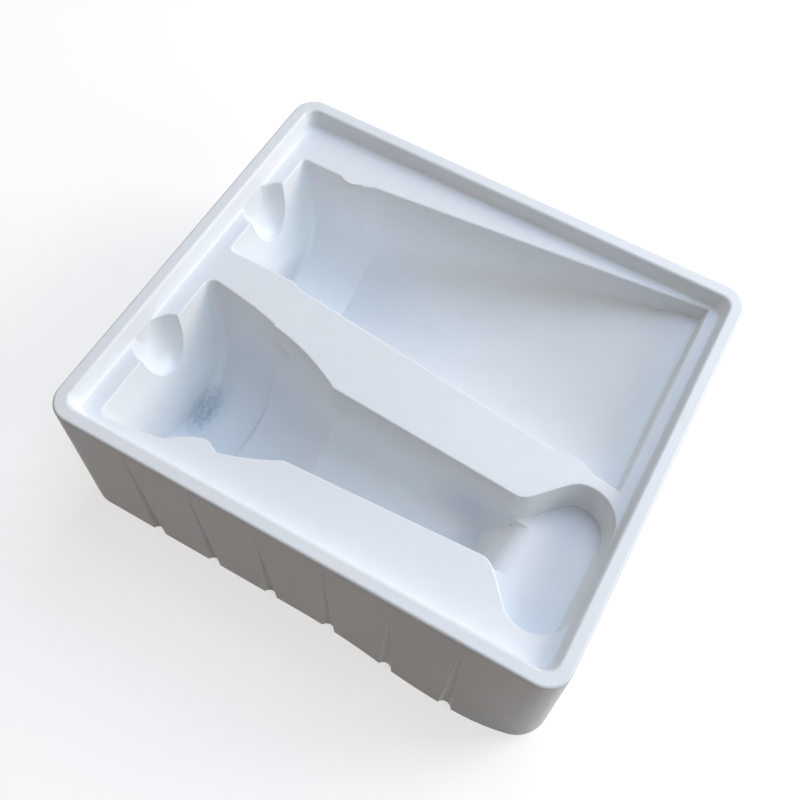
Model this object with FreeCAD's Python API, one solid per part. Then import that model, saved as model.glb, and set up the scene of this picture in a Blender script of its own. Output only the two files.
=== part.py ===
"""Thermoformed tray for a boxed set: one sheet of plastic, drawn over a mould.

One solid, all sizes in millimetres.  X runs along the tray, Y from front to back, Z up.
The form is drawn round the middle of the rim and then moved back by half the bow of its
front edge, which puts the origin at the centre of its bounds, on the foot's plane.
The sheet is worked out as two forms, its upper face and its under face, which share the
functions below: `grow` is nothing for the upper face and the sheet's thickness for the
under face.
"""
import FreeCAD, Part
import math
import os

V = FreeCAD.Vector

# The tray as a whole
length = 200.0              # outside of the rim, left to right
width = 170.7               # outside of the rim, front to back
height = 73.5
sheet = 1.0                 # thickness of the formed sheet
skirt_flare = 2.0           # the foot stands out this far past the rim, each side
rim_corner = 9.4            # corner radius of the rim, seen from above
foot_corner = 10.5
rim_width = 5.4
rim_edge = 1.2              # rounding of the rim's outer and inner edge

# The skirt's front edge has sprung outwards near its right-hand end
bow_depth = 3.7
bow_start = 102.0           # from the right-hand side of the foot
bow_peak = 32.0             # from the right-hand side of the foot
bow_radius = 90.0

# Flutes that stiffen the skirt: grooves that run out just under the rim
flute_radius = 3.1          # at the foot
flute_depth = 1.7           # at the foot
flute_gap = 2.5             # from the rim's top face down to where a flute runs out
flute_pitch = 26.5
flute_lead = 6.0            # how much lower it starts on the under face, per mm of sheet
flutes_long_side = 6
flutes_short_side = 5

# Recessed deck, which a lid drops into
step_depth = 7.3
step_lean = 1.6             # how far the step's wall leans in on its way down
step_corner = 4.6           # corner radius of the rim's inner edge
step_fillet = 1.0

# Well for the tube: round at the cap, flat at the crimp
tube_left_margin = 7.0      # deck left between the well and the foot of the step
tube_right_margin = 5.0
tube_back_margin = 2.55     # at the crimp
tube_draft = 4.0            # degrees, side walls
cap_length = 29.0
cap_half = 26.6             # half width round the cap, at the deck
cap_axis_drop = 28.5        # from the deck to the middle of the cap
cap_shoulder = 4.0          # length over which the walls ease out from cap to body
body_half = 28.3            # half width at the tube's shoulder, at the deck
crimp_length = 8.0          # level landing under the crimp
crimp_half = 42.3           # half width at the crimp, at the deck
crimp_drop = 11.2           # from the deck to the floor under the crimp
crimp_dish = 4.0            # how far the floor still curves up at its sides there
landing_draft = 8.0         # degrees, end wall past the crimp

# Well for the bottle: belly, neck, and a shallow pan for its head
bottle_left_margin = 7.8    # deck left between the well and the foot of the step
bottle_right_margin = 0.4   # at the pan
bottle_front_margin = 2.45  # at the belly
bottle_axis_drop = 25.7     # from the deck to the bottle's axis
bottle_draft = 8.0          # degrees, side walls
belly_half = 34.3           # half widths at the deck, from the end wall to the neck
belly_mid_half = 31.4
belly_mid_along = 19.2      # lengths from the well's left-hand end
collar_half = 28.4
collar_along = 32.7
collar_step = 0.6           # the floor steps up this far at the collar
shoulder_mid_half = 23.8
shoulder_mid_along = 49.2
shoulder_half = 16.4
shoulder_along = 65.7
neck_half = 12.0            # half width where it meets the pan, at the deck
neck_end_lean = 27.0        # degrees
ramp_fillet = 8.0           # where the neck's end meets the pan's floor
pan_length = 30.6           # from the top of the neck's ramp
pan_half = 28.0
pan_drop = 15.2             # from the deck to the pan's floor
pan_draft = 8.0             # degrees
pan_flare = 47.5            # degrees from the axis, where the throat opens out
pan_side = 18.2             # from the pan's end to where the flare would meet its side
pan_throat_half = 12.1      # a shade wider than the neck that opens into it
pan_throat_radius = 9.0
pan_back_radius = 11.0
pan_front_radius = 13.0

# End walls of both wells
end_draft = 6.0             # degrees
belly_end_fillet = 3.5
cap_end_fillet = 2.0

# Thumb scoops at the left-hand end of both wells
scoop_half = 11.0
scoop_reach = 8.4           # from the well's end wall towards the rim
scoop_drop = 22.0
bottle_scoop_shift = 2.1    # how far the scoop lies behind the bottle's axis
tube_scoop_shift = -0.5

# Lugs and bumps that hold the contents down: balls whose caps stand proud of a side wall.
# Each has its distance from the end of its well, the ball's radius, how far it stands
# proud and its depth below the deck
bottle_lug = (38.4, 4.2, 3.4, 1.5)
bottle_bump = (37.7, 6.0, 1.1, 14.0)
tube_lug = (20.0, 16.0, 2.0, 3.0)
tube_bump = (20.0, 6.0, 1.2, 7.5)
cap_bump = (22.5, 8.0, 1.7, 3.5)
ball_root = 3.0             # how far behind the wall a ball's back is cut off

# Rounding where the deck turns down into each well
tube_edge = 0.9
bottle_edge = 0.6

# Places that follow from the sizes above
deck = height - step_depth
deck_half_length = length / 2 - rim_width - step_lean
deck_half_width = width / 2 - rim_width - step_lean
bottle_axis_y = bottle_front_margin + belly_half - deck_half_width
bottle_left = bottle_left_margin - deck_half_length
belly_mid_x = bottle_left + belly_mid_along
collar_x = bottle_left + collar_along
shoulder_mid_x = bottle_left + shoulder_mid_along
shoulder_x = bottle_left + shoulder_along
pan_right = deck_half_length - bottle_right_margin
neck_end = pan_right - pan_length
tube_axis_y = deck_half_width - tube_back_margin - crimp_half
tube_left = tube_left_margin - deck_half_length
tube_right = deck_half_length - tube_right_margin
cap_end = tube_left + cap_length
body_start = cap_end + cap_shoulder
body_end = tube_right - crimp_length

clear = 4.0                 # how far a cutting form stands clear of what it cuts
edge_slack = 0.02           # how far an edge may lie from the level it is picked by


def tan_deg(angle):
    return math.tan(math.radians(angle))


def between(x, x1, half1, x2, half2):
    """Half width at x on the straight line through two others."""
    return half1 + (half2 - half1) * (x - x1) / (x2 - x1)


# ---------------------------------------------------------------- outlines

def line(start, end):
    return Part.LineSegment(start, end).toShape()


def arc(centre, radius, start, stop):
    """Arc in a level plane, from one angle to another, in degrees."""
    def at(angle):
        turn = math.radians(angle)
        return centre + V(radius * math.cos(turn), radius * math.sin(turn), 0)
    return Part.Arc(at(start), at((start + stop) / 2), at(stop)).toShape()


def rounded_outline(corners, z):
    """Closed level outline through corner points, each given as x, y and radius."""
    points = [V(x, y, z) for x, y, radius in corners]
    entries, middles, exits = [], [], []
    for i, (x, y, radius) in enumerate(corners):
        before = (points[i - 1] - points[i]).normalize()
        after = (points[(i + 1) % len(points)] - points[i]).normalize()
        half_angle = before.getAngle(after) / 2
        reach = radius / math.tan(half_angle)
        entries.append(points[i] + before * reach)
        exits.append(points[i] + after * reach)
        inward = (before + after).normalize()
        middles.append(points[i] + inward * (radius / math.sin(half_angle) - radius))
    edges = []
    for i in range(len(points)):
        if corners[i][2]:
            edges.append(Part.Arc(entries[i], middles[i], exits[i]).toShape())
        edges.append(line(exits[i], entries[(i + 1) % len(points)]))
    return Part.Wire(edges)


def rectangle(half_x, half_y, radius, z):
    return rounded_outline([(half_x, -half_y, radius), (half_x, half_y, radius),
                            (-half_x, half_y, radius), (-half_x, -half_y, radius)], z)


def straight(edge):
    return isinstance(edge.Curve, Part.Line)


def skin(lower, upper):
    """Solid between two outlines with matching edges: flat where the edges are parallel
    and ruled where they curve."""
    faces = [Part.Face(lower), Part.Face(upper)]
    for below, above in zip(lower.OrderedEdges, upper.OrderedEdges):
        if straight(below) and straight(above):
            a, b = [v.Point for v in below.Vertexes]
            c, d = [v.Point for v in above.Vertexes]
            if (b - a).dot(d - c) < 0:
                c, d = d, c
            faces.append(Part.Face(Part.makePolygon([a, b, d, c, a])))
        else:
            faces.append(Part.makeRuledSurface(below, above))
    shell = Part.makeShell(faces)
    shell.sewShape()
    form = Part.Solid(shell)
    if form.Volume < 0:
        shell.reverse()
        form = Part.Solid(shell)
    return form


def loft(sections, ruled=False):
    return Part.makeLoft(sections, True, ruled)


# ---------------------------------------------------------------- skirt and rim

def skirt_outline(half_x, half_y, corner, z, bow, inset):
    """The skirt at one level.  Its front edge bows out by `bow`: two arcs sweep out to
    the peak, a third runs on past it and the corner turns from there into the side."""
    right = length / 2 + skirt_flare
    front = -half_y
    start = V(right - bow_start, front, z)
    peak = V(right - bow_peak, front - bow, z)
    middle = (start + peak) / 2
    if bow:
        run = peak.x - start.x
        sweep = (run ** 2 + bow ** 2) / (4 * bow)
        bend = math.degrees(math.asin(run / 2 / sweep))
        crest = bow_radius - inset
        turn = math.degrees(math.asin((half_x - corner - peak.x) / crest))
        front_edges = [arc(start - V(0, sweep, 0), sweep, 90, 90 - bend),
                       arc(peak + V(0, sweep, 0), sweep, -90 - bend, -90),
                       arc(peak + V(0, crest, 0), crest, -90, turn - 90)]
        last = front_edges[-1].Vertexes[-1].Point
        sharp = (half_x - last.x) / (1 - math.sin(math.radians(turn)))
        centre = V(half_x - sharp, last.y + sharp * math.cos(math.radians(turn)), z)
        front_edges.append(arc(centre, sharp, turn - 90, 0))
    else:
        last = V(half_x - corner, front, z)
        front_edges = [line(start, middle), line(middle, peak), line(peak, last),
                       arc(last + V(0, corner, 0), corner, -90, 0)]
    side_x, side_y = half_x - corner, half_y - corner
    edges = [line(V(-side_x, front, z), start)] + front_edges
    edges += [line(edges[-1].Vertexes[-1].Point, V(half_x, side_y, z)),
              arc(V(side_x, side_y, z), corner, 0, 90),
              line(V(side_x, half_y, z), V(-side_x, half_y, z)),
              arc(V(-side_x, side_y, z), corner, 90, 180),
              line(V(-half_x, side_y, z), V(-half_x, -side_y, z)),
              arc(V(-side_x, -side_y, z), corner, 180, 270)]
    return Part.Wire(edges)


def foot_outline(inset):
    return skirt_outline(length / 2 + skirt_flare - inset, width / 2 + skirt_flare - inset,
                         foot_corner - inset, 0, bow_depth, inset)


def skirt_block(inset):
    """The tray's outer form down to the foot, drawn in by the sheet for its under face."""
    lean = skirt_flare * inset / height
    rim = skirt_outline(length / 2 + lean - inset, width / 2 + lean - inset,
                        rim_corner - inset, height - inset, 0, inset)
    return skin(foot_outline(inset), rim)


def flute(foot, inward, lean, grow):
    """One groove, a cone that lies along a wall with this much lean and runs out under
    the rim.  On the under face it starts lower, where the sheet can follow it."""
    top_z = height - flute_gap
    top = foot + inward * (lean * top_z / height) + V(0, 0, top_z)
    low = foot - inward * (flute_radius - flute_depth)
    axis = (low - top).normalize()
    slope = flute_radius / (low - top).Length
    lead = flute_lead * grow
    reach = (low - top).Length + clear
    return Part.makeCone(slope * lead + grow, slope * reach + grow, reach - lead,
                         top + axis * lead, axis)


def front_foot(x):
    """The point of the foot's front edge at this x, on the bow too."""
    probe = line(V(x, -width, 0), V(x, 0, 0))
    return foot_outline(0).distToShape(probe)[1][0][0]


def flutes(grow):
    grooves = []
    for i in range(flutes_long_side):
        x = (i - (flutes_long_side - 1) / 2) * flute_pitch
        front = front_foot(x)
        grooves.append(flute(front, V(0, 1, 0), -width / 2 - front.y, grow))
        grooves.append(flute(V(x, width / 2 + skirt_flare, 0), V(0, -1, 0), skirt_flare, grow))
    for i in range(flutes_short_side):
        y = (i - (flutes_short_side - 1) / 2) * flute_pitch
        for side in (-1, 1):
            foot = V(side * (length / 2 + skirt_flare), y, 0)
            grooves.append(flute(foot, V(-side, 0, 0), skirt_flare, grow))
    return grooves


# ---------------------------------------------------------------- recessed deck

def recess(grow):
    """The step down from the rim to the deck, with its foot filleted."""
    half_x, half_y = length / 2 - rim_width + grow, width / 2 - rim_width + grow

    def level(z):
        out = (z - height) * step_lean / step_depth
        return rectangle(half_x + out, half_y + out, step_corner + grow, z)
    form = loft([level(deck - grow), level(height + clear)], ruled=True)
    foot = [edge for edge in form.Edges if edge.BoundBox.ZMax < deck + step_fillet]
    return form.makeFillet(step_fillet + grow, foot)


# ---------------------------------------------------------------- troughs

def trough_section(x, axis_y, half, drop, dish, draft, grow):
    """Section across a trough: drafted walls that run down into a curved floor.

    `half` is the half width at the deck and `drop` the depth of the curve's ends below
    the deck; `dish` is the curve's height, a half ellipse, or None for half a circle."""
    lean = math.radians(draft)
    across = half - drop * math.tan(lean)
    round_floor = dish is None
    if round_floor:
        across = across * math.cos(lean) + grow
        deep, start = across, lean
    else:
        across = math.sqrt(across ** 2 - (dish * math.tan(lean)) ** 2) + grow
        deep = dish + grow
        start = math.atan(deep / across * math.tan(lean))
    centre = V(x, axis_y, deck - drop)

    def at(angle):
        return centre + V(0, across * math.cos(angle), -deep * math.sin(angle))
    if round_floor:
        curve = Part.Arc(at(start), at(math.pi / 2), at(math.pi - start)).toShape()
    else:
        ellipse = Part.Ellipse(at(0), at(math.pi / 2), centre)
        curve = Part.ArcOfEllipse(ellipse, start, math.pi - start).toShape()
    first, last = at(start), at(math.pi - start)
    rise = deck + clear - first.z
    top_first = first + V(0, rise * math.tan(lean), rise)
    top_last = last + V(0, -rise * math.tan(lean), rise)
    return Part.Wire([line(top_first, first), curve, line(last, top_last),
                      line(top_last, top_first)])


def end_wall(form, x, draft, grow):
    """Cut a trough off with an end wall that meets the deck at x, drafted outwards as it
    rises; the wall faces left or right as the sign of the draft says."""
    size = 3 * length
    block = Part.makeBox(size, size, size, V(0, -size / 2, -size / 2))
    if draft < 0:
        block.rotate(V(0, 0, 0), V(0, 0, 1), 180)
    block.rotate(V(0, 0, 0), V(0, 1, 0), draft)
    outward = grow / math.cos(math.radians(draft))
    block.translate(V(x + math.copysign(outward, draft), 0, deck))
    return form.cut(block)


def round_end(form, x, radius):
    """Fillet the end wall nearest to this x into the walls and floor of its trough."""
    wall = min(form.Faces, key=lambda face: abs(face.CenterOfMass.x - x))
    edges = [e for e in wall.Edges if e.BoundBox.ZMin < deck]
    return form.makeFillet(radius, edges)


def bottle_trough(stations, grow):
    sections = [trough_section(x, bottle_axis_y, half, bottle_axis_drop, None,
                               bottle_draft, grow) for x, half in stations]
    return skin(*sections) if len(sections) == 2 else loft(sections)


def belly(grow):
    """Belly of the bottle's well, up to its collar, with a rounded end wall."""
    form = bottle_trough([(bottle_left - clear, belly_half), (belly_mid_x, belly_mid_half),
                          (collar_x, collar_half)], grow)
    form = end_wall(form, bottle_left, -end_draft, grow)
    return round_end(form, bottle_left, belly_end_fillet + grow)


def shoulder(grow):
    return bottle_trough([(collar_x, collar_half - collar_step),
                          (shoulder_mid_x, shoulder_mid_half),
                          (shoulder_x, shoulder_half)], grow)


def neck(grow):
    """Neck of the bottle's well; its far end climbs to the pan's floor."""
    beyond = neck_end + pan_drop
    half = between(beyond, shoulder_x, shoulder_half, neck_end, neck_half)
    form = bottle_trough([(shoulder_x, shoulder_half), (beyond, half)], grow)
    top_x = neck_end + pan_drop * tan_deg(neck_end_lean)
    return end_wall(form, top_x, neck_end_lean, grow)


def pan_outline(inset, z):
    """The pan at one level: a throat that flares out to a rounded end."""
    turn = math.radians(pan_flare)

    def flare_x(y):
        return pan_right - pan_side + (y - pan_half) / math.tan(turn) + inset / math.sin(turn)
    throat, side, end = pan_throat_half - inset, pan_half - inset, pan_right - inset
    half = [(neck_end - pan_throat_radius - clear, throat, 0),
            (flare_x(throat), throat, pan_throat_radius + inset),
            (flare_x(side), side, pan_back_radius - inset),
            (end, side, pan_front_radius - inset)]
    mirrored = [(x, -y, radius) for x, y, radius in half]
    outline = rounded_outline(mirrored + half[::-1], z)
    outline.translate(V(0, bottle_axis_y, 0))
    return outline


def pan(grow):
    slope = tan_deg(pan_draft)
    spread = grow / math.cos(math.radians(pan_draft))
    low = pan_drop + grow
    return skin(pan_outline(slope * low - spread, deck - low),
                pan_outline(-slope * clear - spread, deck + clear))


def tube_section(x, half, drop, dish, grow):
    return trough_section(x, tube_axis_y, half, drop, dish, tube_draft, grow)


def cap(grow):
    """Round end of the tube's well, which holds the cap."""
    sections = [tube_section(x, cap_half, cap_axis_drop, None, grow)
                for x in (tube_left - clear, cap_end)]
    form = end_wall(skin(*sections), tube_left, -end_draft, grow)
    return round_end(form, tube_left, cap_end_fillet + grow)


def tube_body(grow):
    """The tube's shoulder, then its body: a half circle that flattens, widens and climbs
    in one sweep to the crimp, and last a level landing under the crimp."""
    cap_side = tube_section(cap_end, cap_half, cap_axis_drop, None, grow)
    body_side = tube_section(body_start, body_half, cap_axis_drop, None, grow)
    crimp_ends = crimp_drop - crimp_dish
    crimp_side = tube_section(body_end, crimp_half, crimp_ends, crimp_dish, grow)
    beyond = tube_right + clear
    far_half = between(beyond, body_start, body_half, body_end, crimp_half)
    far_side = tube_section(beyond, far_half, crimp_ends, crimp_dish, grow)
    landing = end_wall(skin(crimp_side, far_side), tube_right, landing_draft, grow)
    return [skin(cap_side, body_side), skin(body_side, crimp_side), landing]


# ---------------------------------------------------------------- scoops and bumps

def scoop(edge_x, y, grow):
    """Thumb scoop, part of an ellipsoid, cut flat by the plane of the step's foot."""
    stretch = FreeCAD.Matrix()
    stretch.scale(V(scoop_reach + grow, scoop_half + grow, scoop_drop + grow))
    form = Part.makeSphere(1).transformGeometry(stretch)
    form.translate(V(edge_x, y, deck))
    flat = -deck_half_length - grow
    keep = Part.makeBox(length, 2 * width, 2 * height, V(flat, -width, 0))
    return form.common(keep)


def proud_ball(x, axis_y, side, half, draft, spec, grow):
    """The cap of a ball that stands proud of a well's side wall, cut off at the deck and
    rooted a little way behind the wall."""
    radius, rise, drop = spec[1:]
    wall_y = axis_y + side * (half - drop * tan_deg(draft))
    middle = V(x, wall_y + side * (radius - rise), deck - drop)
    ball = Part.makeSphere(radius - grow, middle)
    low_y = min(wall_y + side * ball_root, wall_y - side * 2 * rise)
    bottom = middle.z - radius
    keep = Part.makeBox(2 * radius, ball_root + 2 * rise, deck - grow - bottom,
                        V(x - radius, low_y, bottom))
    return ball.common(keep)


def lugs_and_bumps(grow):
    def bottle(side, spec):
        x = bottle_left + spec[0]
        half = between(x, collar_x, collar_half - collar_step,
                       shoulder_mid_x, shoulder_mid_half)
        return proud_ball(x, bottle_axis_y, side, half, bottle_draft, spec, grow)

    def tube(side, spec):
        x = tube_right - spec[0]
        half = between(x, body_start, body_half, body_end, crimp_half)
        return proud_ball(x, tube_axis_y, side, half, tube_draft, spec, grow)
    at_cap = proud_ball(tube_left + cap_bump[0], tube_axis_y, 1, cap_half, tube_draft,
                        cap_bump, grow)
    return [bottle(-1, bottle_lug), bottle(1, bottle_bump), tube(-1, tube_lug),
            tube(1, tube_bump), at_cap]


def bottle_well(grow):
    """The bottle's well in one form, with the top of its ramp eased into the pan."""
    form = belly(grow).fuse([shoulder(grow), neck(grow), pan(grow)])
    crest = V(neck_end, bottle_axis_y, deck - pan_drop - grow)
    ramp_top = min(form.Edges, key=lambda edge: edge.CenterOfMass.distanceToPoint(crest))
    return form.makeFillet(ramp_fillet, [ramp_top])


def tube_well(grow):
    return cap(grow).fuse(tube_body(grow))


def hollows(grow):
    """The two wells, each with its thumb scoop."""
    return [[bottle_well(grow), scoop(bottle_left, bottle_axis_y + bottle_scoop_shift, grow)],
            [tube_well(grow), scoop(tube_left, tube_axis_y + tube_scoop_shift, grow)]]


def sheet_face(grow):
    """The solid below one face of the sheet, without its lugs, flutes and roundings."""
    form = skirt_block(grow).cut(recess(grow))
    for hollow in hollows(grow):
        form = form.cut(hollow)
    return form


def mouth_edges(form, hollow):
    """The form's edges where the deck turns down into one well."""
    found = []
    for edge in form.Edges:
        box = edge.BoundBox
        level = box.ZMin > deck - edge_slack and box.ZMax < deck + edge_slack
        middle = edge.valueAt((edge.FirstParameter + edge.LastParameter) / 2)
        if level and any(part.isInside(middle, edge_slack, True) for part in hollow):
            found.append(edge)
    return found


def upper_form():
    """The solid below the sheet's upper face, with every edge that shows rounded."""
    form = sheet_face(0)
    for hollow, radius in zip(hollows(0), (bottle_edge, tube_edge)):
        form = form.makeFillet(radius, mouth_edges(form, hollow))
    form = form.fuse(lugs_and_bumps(0)).cut(flutes(0))
    rim = [edge for edge in form.Edges if edge.BoundBox.ZMin > deck + step_depth / 2]
    return form.makeFillet(rim_edge, rim)


def under_form():
    """The solid below the sheet's under face, carried on below the foot to cut it clean."""
    form = sheet_face(sheet).fuse(lugs_and_bumps(sheet)).cut(flutes(sheet))
    foot = min(form.Faces, key=lambda face: face.CenterOfMass.z)
    return form.fuse(foot.extrude(V(0, 0, -clear)))


def tray():
    form = upper_form().cut(under_form())
    form.translate(V(0, bow_depth / 2, 0))
    return form


def main():
    os.makedirs("parts", exist_ok=True)
    tray().exportStep("parts/tray.step")


main()
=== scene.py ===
"""The tray at rest on a pale floor: its plastic, the studio light and the camera.

Lengths are in metres and angles in radians, apart from those given through math.radians."""
import math

import bmesh
import bpy
from mathutils import Matrix, Vector


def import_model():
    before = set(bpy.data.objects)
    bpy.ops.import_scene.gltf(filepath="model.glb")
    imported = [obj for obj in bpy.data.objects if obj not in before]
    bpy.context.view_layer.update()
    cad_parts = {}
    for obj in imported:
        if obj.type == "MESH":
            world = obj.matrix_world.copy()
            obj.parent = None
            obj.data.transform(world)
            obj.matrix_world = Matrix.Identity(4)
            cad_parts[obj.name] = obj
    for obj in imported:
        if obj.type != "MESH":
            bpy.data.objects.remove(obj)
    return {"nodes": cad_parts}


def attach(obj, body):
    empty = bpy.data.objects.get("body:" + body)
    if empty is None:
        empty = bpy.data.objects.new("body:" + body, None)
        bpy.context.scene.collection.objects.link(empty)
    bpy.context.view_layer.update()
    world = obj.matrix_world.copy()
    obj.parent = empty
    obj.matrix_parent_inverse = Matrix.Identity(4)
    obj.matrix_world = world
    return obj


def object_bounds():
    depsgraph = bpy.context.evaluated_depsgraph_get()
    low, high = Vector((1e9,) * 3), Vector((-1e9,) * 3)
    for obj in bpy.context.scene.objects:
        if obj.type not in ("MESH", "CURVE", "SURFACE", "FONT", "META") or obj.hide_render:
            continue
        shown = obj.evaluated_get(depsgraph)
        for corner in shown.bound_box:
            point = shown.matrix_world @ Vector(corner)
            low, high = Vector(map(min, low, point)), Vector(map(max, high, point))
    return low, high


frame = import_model()
cad_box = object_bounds()
tray = frame["nodes"]["tray"]


# ---------------------------------------------------------------- plastic

class Shade:
    """Builds a material's nodes one after another."""

    def __init__(self, name):
        self.material = bpy.data.materials.new(name)
        self.material.use_nodes = True
        self.tree = self.material.node_tree
        self.shader = self.tree.nodes["Principled BSDF"]
        self.place = self.node("ShaderNodeTexCoord").outputs["Object"]

    def node(self, kind, **settings):
        made = self.tree.nodes.new(kind)
        for key, value in settings.items():
            setattr(made, key, value)
        return made

    def link(self, source, target):
        self.tree.links.new(source, target)

    def noise(self, scale, detail, roughness=0.5, output="Fac"):
        """Grey noise, or three noises with output="Color"; the scale is in cells per metre."""
        made = self.node("ShaderNodeTexNoise")
        made.inputs["Scale"].default_value = scale
        made.inputs["Detail"].default_value = detail
        made.inputs["Roughness"].default_value = roughness
        self.link(self.place, made.inputs["Vector"])
        return made.outputs[output]

    def ramp(self, source, low, high, start=0.0, end=1.0):
        """Maps a value from start..end to low..high, held at both ends."""
        made = self.node("ShaderNodeMapRange")
        made.inputs["From Min"].default_value = start
        made.inputs["From Max"].default_value = end
        made.inputs["To Min"].default_value = low
        made.inputs["To Max"].default_value = high
        self.link(source, made.inputs["Value"])
        return made.outputs["Result"]

    def maths(self, operation, first, second):
        made = self.node("ShaderNodeMath", operation=operation)
        for socket, value in zip(made.inputs, (first, second)):
            if isinstance(value, (int, float)):
                socket.default_value = value
            else:
                self.link(value, socket)
        return made.outputs["Value"]

    def times(self, first, second):
        return self.maths("MULTIPLY", first, second)

    def plus(self, first, second):
        return self.maths("ADD", first, second)

    def vector(self, operation, first, second):
        made = self.node("ShaderNodeVectorMath", operation=operation)
        for socket, value in zip(made.inputs, (first, second)):
            if isinstance(value, tuple):
                socket.default_value = value
            else:
                self.link(value, socket)
        return made.outputs["Vector"]

    def mix(self, factor, first, second):
        """Colour mix; a colour is a socket or three numbers."""
        made = self.node("ShaderNodeMix", data_type="RGBA")
        self.link(factor, made.inputs["Factor"])
        for name, value in (("A", first), ("B", second)):
            socket = [i for i in made.inputs if i.name == name and i.type == "RGBA"][0]
            if isinstance(value, tuple):
                socket.default_value = (*value, 1)
            else:
                self.link(value, socket)
        return [o for o in made.outputs if o.type == "RGBA"][0]


def near(shade, centre, reach, blur=1.0, distort=0.0):
    """1 inside an ellipsoid and 0 outside it, with a soft and, if asked, ragged edge."""
    place = shade.place
    if distort:
        noise = shade.noise(400, detail=3, output="Color")
        either_way = shade.vector("SUBTRACT", noise, (0.5, 0.5, 0.5))
        shift = shade.vector("MULTIPLY", either_way, (distort, distort, distort))
        place = shade.vector("ADD", place, shift)
    from_centre = shade.vector("SUBTRACT", place, centre)
    scaled = shade.vector("DIVIDE", from_centre, reach)
    length = shade.node("ShaderNodeVectorMath", operation="LENGTH")
    shade.link(scaled, length.inputs[0])
    return shade.ramp(length.outputs["Value"], 1, 0, start=1 - blur)


def plastic():
    """Pale blue-white polystyrene: satin, faintly cloudy, with handling marks and painted
    shade in its deepest corners and folds.
    """
    shade = Shade("tray_plastic")
    clouds = shade.ramp(shade.noise(18, detail=3), 0, 1, start=0.35, end=0.65)
    colour = shade.mix(clouds, (0.81, 0.85, 0.885), (0.835, 0.87, 0.90))
    mottle = shade.ramp(shade.noise(90, detail=4, roughness=0.6), 0, 0.5, start=0.5, end=0.75)
    colour = shade.mix(mottle, colour, (0.80, 0.82, 0.835))

    # Painted shade: grey-blue darkening in the deepest corners, at the feet of walls and along
    # the folds, where shade falls
    painted_shade_grey = (0.46, 0.52, 0.59)
    belly_foot = (-0.0770, -0.0350, 0.0120)
    neck_back_wall = (0.0430, -0.0300, 0.0430)
    ramp_foot = (0.0500, -0.0390, 0.0320)
    collar_fold = (-0.0525, -0.0360, 0.0140)
    cap_foot = (-0.0812, 0.0300, 0.0150)
    for centre, reach, depth in (
            (belly_foot, (0.0110, 0.0220, 0.0200), 0.45),
            (neck_back_wall, (0.0200, 0.0060, 0.0200), 0.55),
            (ramp_foot, (0.0130, 0.0120, 0.0090), 0.5),
            (collar_fold, (0.0011, 0.0240, 0.0140), 0.55),
            (cap_foot, (0.0035, 0.0240, 0.0150), 0.7)):
        painted_shade = near(shade, centre, reach)
        colour = shade.mix(shade.times(painted_shade, depth), colour, painted_shade_grey)

    # Frosted, crazed patch at the foot of the belly's end wall
    patch = near(shade, (-0.0768, -0.0355, 0.0125), (0.0060, 0.0135, 0.0085),
                 blur=0.6, distort=0.004)
    speckle = shade.noise(700, detail=4, roughness=0.7)
    frost = shade.times(patch, shade.ramp(speckle, 0.25, 1, start=0.42, end=0.6))
    colour = shade.mix(frost, colour, (0.42, 0.49, 0.57))

    # A small white speck beside the cap
    white_speck = near(shade, (-0.0636, 0.0334, 0.0132), (0.0012, 0.0007, 0.0010),
                blur=0.5, distort=0.001)
    colour = shade.mix(white_speck, colour, (0.95, 0.96, 0.97))

    shade.link(colour, shade.shader.inputs["Base Color"])
    shade.shader.inputs["Specular IOR Level"].default_value = 0.35
    satin = shade.noise(260, detail=4, roughness=0.6)
    satin = shade.ramp(satin, 0.33, 0.45, start=0.3, end=0.7)
    shade.link(satin, shade.shader.inputs["Roughness"])

    # Fine grain all over, and crazing in the frosted patch
    grain = shade.times(shade.noise(320, detail=3, roughness=0.6), 0.12)
    crazing = shade.times(frost, shade.noise(1400, detail=2, roughness=0.7))
    bump = shade.node("ShaderNodeBump")
    bump.inputs["Strength"].default_value = 1
    bump.inputs["Distance"].default_value = 0.0003
    shade.link(shade.plus(grain, crazing), bump.inputs["Height"])
    shade.link(bump.outputs["Normal"], shade.shader.inputs["Normal"])
    return shade.material


def smooth(piece):
    """Smooth shading that keeps the tray's crisp corners."""
    weld = piece.modifiers.new("weld", "WELD")
    weld.merge_threshold = 1e-6
    split = piece.modifiers.new("corners", "EDGE_SPLIT")
    split.split_angle = 0.5
    normals = piece.modifiers.new("normals", "WEIGHTED_NORMAL")
    normals.keep_sharp = True


# ---------------------------------------------------------------- two soft forms

# The bottle's well, as the solid has it: places measured from the sides of the tray's box
collar_x = cad_box[0][0] + 0.0495
neck_start_x = cad_box[0][0] + 0.0825
neck_end_x = cad_box[1][0] - 0.0400
well_axis_y = cad_box[1][1] - 0.12895
deck = cad_box[1][2] - 0.0073
axis_drop = 0.0257              # from the deck to the bottle's axis
pan_drop = 0.0152               # from the deck to the floor of the pan
belly_half = 0.0284             # half widths at the deck, either side of the collar
shoulder_half = 0.0278
belly_taper = 0.2222            # how fast they shrink towards the neck
shoulder_taper = 0.2424
neck_start_half = 0.0164
neck_end_half = 0.0120
wall_draft = math.radians(8)
wall_slope = math.tan(wall_draft)
ramp_lean = math.radians(27)    # of the ramp at the neck's end, from the vertical


def near_wall(x, depth):
    """Where the well's near wall stands at this x and this far below the deck."""
    half = shoulder_half - shoulder_taper * (x - collar_x)
    if x < collar_x:
        half = belly_half - belly_taper * (x - collar_x)
    return well_axis_y - half + depth * wall_slope


def neck_radius(x):
    """Radius of the neck's round floor."""
    along = (x - neck_start_x) / (neck_end_x - neck_start_x)
    half = neck_start_half + (neck_end_half - neck_start_half) * along
    return (half - axis_drop * wall_slope) * math.cos(wall_draft)


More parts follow.
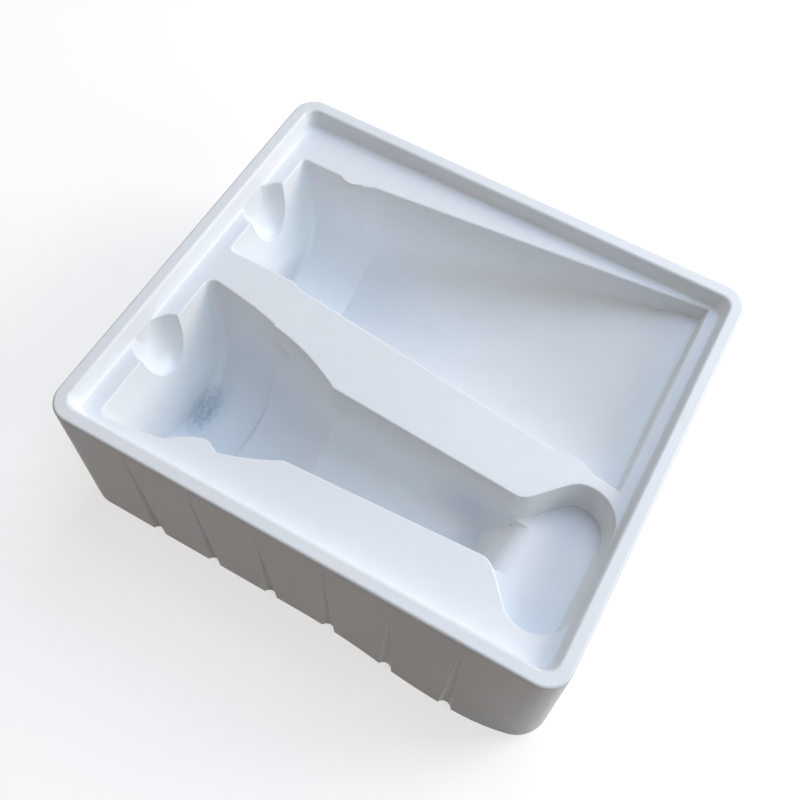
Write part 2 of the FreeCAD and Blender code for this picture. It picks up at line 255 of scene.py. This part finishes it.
def added_piece(name, form):
    """An object of its own for a form built beside the solid."""
    bmesh.ops.recalc_face_normals(form, faces=form.faces)
    mesh = bpy.data.meshes.new(name)
    form.to_mesh(mesh)
    form.free()
    piece = bpy.data.objects.new(name, mesh)
    bpy.context.scene.collection.objects.link(piece)
    return piece


def lug_bulge():
    """Broad part of the lug on the near side of the bottle's belly: a low swelling of the
    well's wall, as if a ball lay behind it, flush with the deck."""
    ball_radius = 0.014
    ball_x = collar_x + 0.0017
    ball_depth = 0.0015
    most_proud = 0.0033
    edge = 0.0006               # rounding where the swelling turns into the deck
    root = -0.0009              # its back, within the tray's sheet
    half_length = 0.011
    top, deep = 0.00002, 0.0115
    along, down = 48, 24        # cells each way
    crowding = 1.6              # crowds the rows towards the deck
    form = bmesh.new()
    front, rear = [], []
    for i in range(along + 1):
        x = ball_x + half_length * (2 * i / along - 1)
        for j in range(down + 1):
            depth = top + deep * (j / down) ** crowding
            wall = near_wall(x, depth)
            inside = ball_radius ** 2 - (x - ball_x) ** 2 - (depth - ball_depth) ** 2
            proud = math.sqrt(max(inside, 0)) - ball_radius + most_proud
            short = max(edge - depth, 0)
            proud -= edge - math.sqrt(edge ** 2 - short ** 2)
            front.append(form.verts.new((x, wall + max(proud, root), deck - depth)))
            rear.append(form.verts.new((x, wall + root, deck - depth)))
    row = down + 1
    for i in range(along):
        for j in range(down):
            a, b = i * row + j, (i + 1) * row + j
            form.faces.new((front[a], front[a + 1], front[b + 1], front[b]))
            form.faces.new((rear[a], rear[b], rear[b + 1], rear[a + 1]))
        a, b = i * row, (i + 1) * row
        form.faces.new((front[a], front[b], rear[b], rear[a]))
    bmesh.ops.remove_doubles(form, verts=form.verts, dist=1e-6)
    return added_piece("lug_bulge", form)


def ramp_run_out():
    """Soft corner where the ramp at the neck's end meets the neck's walls and floor: the
    path of a ball that touches both, shrinking to nothing near the ramp's top."""
    full_ball, least_ball = 0.005, 0.00003
    fade_from, fade_to = 0.0380, 0.0484     # heights between which the ball shrinks
    root = 0.0002                           # how far the piece sinks into the tray
    turns, rises, arc_steps = 40, 14, 10
    axis = Vector((0, well_axis_y, deck - axis_drop))
    wall_top = fade_to - axis.z
    floor_turn = math.pi - 2 * wall_draft

    # Down the far wall, round the floor and up the near wall, each place as the direction
    # from the neck's axis and the rise above the round floor's end
    path = [(-wall_draft, wall_top * (1 - i / rises)) for i in range(rises)]
    path += [(-wall_draft - floor_turn * i / turns, 0) for i in range(turns + 1)]
    path += [(wall_draft - math.pi, wall_top * (i + 1) / rises) for i in range(rises)]

    ramp_out = Vector((math.cos(ramp_lean), 0, -math.sin(ramp_lean)))
    form = bmesh.new()
    rings = []
    for angle, rise in path:
        out = Vector((0, math.cos(angle), math.sin(angle)))
        climb = Vector((0, math.copysign(wall_slope, out.y) * rise, rise))
        x = neck_end_x
        for _ in range(4):      # the neck's taper moves the ball, so its x is worked out anew
            wall = axis + out * neck_radius(x) + climb
            left = max(0.0, min(1.0, (fade_to - wall.z) / (fade_to - fade_from)))
            ball = full_ball * math.sqrt(left) + least_ball
            centre = wall - out * ball
            ramp_x = neck_end_x + (centre.z - deck + pan_drop) * math.tan(ramp_lean)
            x = ramp_x - ball / math.cos(ramp_lean)
        centre.x = x
        ring = [centre + out * (ball + root)]
        for j in range(arc_steps + 1):
            ring.append(centre + ball * out.slerp(ramp_out, j / arc_steps))
        ring.append(centre + ramp_out * (ball + root))
        corner = (out + ramp_out) / (1 + out.dot(ramp_out))
        ring.append(centre + corner * (ball + root))
        rings.append([form.verts.new(point) for point in ring])
    for first, second in zip(rings, rings[1:]):
        for j in range(len(first)):
            k = (j + 1) % len(first)
            form.faces.new((first[j], first[k], second[k], second[j]))
    for end in (rings[0], rings[-1]):
        form.faces.new(end)
    return added_piece("ramp_run_out", form)


tray_plastic = plastic()
bulge = lug_bulge()
run_out = ramp_run_out()
tray.data.materials.clear()
for piece in (tray, bulge, run_out):
    smooth(piece)
    piece.data.materials.append(tray_plastic)
    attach(piece, "root")


# ---------------------------------------------------------------- stage

def split_by_ray(tree, lighting, seen, output):
    """Gives the camera, gloss and glass one shader, and all other rays another."""
    path = tree.nodes.new("ShaderNodeLightPath")
    total = path.outputs["Is Camera Ray"]
    for kind in ("Is Glossy Ray", "Is Transmission Ray"):
        more = tree.nodes.new("ShaderNodeMath")
        more.operation = "ADD"
        tree.links.new(total, more.inputs[0])
        tree.links.new(path.outputs[kind], more.inputs[1])
        total = more.outputs["Value"]
    both = tree.nodes.new("ShaderNodeMixShader")
    tree.links.new(total, both.inputs["Fac"])
    tree.links.new(lighting, both.inputs[1])
    tree.links.new(seen, both.inputs[2])
    tree.links.new(both.outputs["Shader"], output.inputs["Surface"])


def floor():
    """White floor with the tray's soft shadow; the light it bounces is faint and warm."""
    bpy.ops.mesh.primitive_plane_add(size=8)
    plane = bpy.context.object
    plane.name = "floor"
    shade = Shade("floor")
    shade.shader.inputs["Base Color"].default_value = (0.08, 0.06, 0.045, 1)
    shade.shader.inputs["Roughness"].default_value = 0.9
    shade.shader.inputs["Specular IOR Level"].default_value = 0.1
    pale = shade.node("ShaderNodeBsdfDiffuse")
    pale.inputs["Color"].default_value = (0.5, 0.5, 0.5, 1)
    glow = shade.node("ShaderNodeEmission")
    glow.inputs["Color"].default_value = (1, 1, 1, 1)
    glow.inputs["Strength"].default_value = 0.62
    white = shade.node("ShaderNodeAddShader")
    shade.link(pale.outputs["BSDF"], white.inputs[0])
    shade.link(glow.outputs["Emission"], white.inputs[1])
    split_by_ray(shade.tree, shade.shader.outputs["BSDF"], white.outputs["Shader"],
                 shade.tree.nodes["Material Output"])
    plane.data.materials.append(shade.material)


def world():
    """Faint light from all round, in a world that looks white."""
    scene_world = bpy.data.worlds.new("world")
    bpy.context.scene.world = scene_world
    scene_world.use_nodes = True
    tree = scene_world.node_tree
    faint = tree.nodes["Background"]
    faint.inputs["Color"].default_value = (1, 1, 1, 1)
    faint.inputs["Strength"].default_value = 0.015
    white = tree.nodes.new("ShaderNodeBackground")
    white.inputs["Color"].default_value = (1, 1, 1, 1)
    white.inputs["Strength"].default_value = 1
    split_by_ray(tree, faint.outputs["Background"], white.outputs["Background"],
                 tree.nodes["World Output"])


def area_light(name, place, size, power, colour):
    """Square lamp that faces a point within the tray."""
    faced = Vector((0, 0, 0.05))
    data = bpy.data.lights.new(name, "AREA")
    data.size = size
    data.energy = power
    data.color = colour
    lamp = bpy.data.objects.new(name, data)
    bpy.context.scene.collection.objects.link(lamp)
    lamp.location = place
    aim = faced - Vector(place)
    lamp.rotation_euler = aim.to_track_quat("-Z", "Y").to_euler()


def camera():
    """The photograph's viewpoint."""
    data = bpy.data.cameras.new("camera")
    data.sensor_width = 36
    data.lens = 44.05
    data.shift_x = -0.0484
    data.shift_y = -0.0307
    place = (0.08132, -0.157216, 0.381596)
    right = (0.8760646, 0.4800072, 0.0458685)
    up = (-0.4412607, 0.7597064, 0.477635)
    back = (0.1944217, -0.4386791, 0.8773602)
    turn = Matrix((right, up, back)).transposed().to_4x4()
    cam = bpy.data.objects.new("camera", data)
    bpy.context.scene.collection.objects.link(cam)
    cam.matrix_world = Matrix.Translation(place) @ turn
    bpy.context.scene.camera = cam


floor()
for name, place, size, power, colour in (
        ("key", (0.85, 0.75, 0.7), 0.7, 11.6, (1, 0.875, 0.78)),
        ("top", (0.15, 0.45, 1.2), 0.8, 7.8, (0.635, 0.76, 1)),
        ("right", (1.1, -0.2, 0.7), 0.7, 3.8, (0.81, 0.945, 1)),
        ("left", (-1.1, -0.1, 0.7), 0.7, 2.8, (1, 0.86, 0.62)),
        ("front", (0.2, -1.1, 0.9), 0.7, 0.9, (1, 0.55, 0.25)),
        ("back", (-0.1, 1.1, 0.8), 0.8, 1.3, (0.85, 1, 0.85))):
    area_light(name, place, size, power, colour)
world()
camera()
bpy.context.scene.view_settings.view_transform = "Standard"
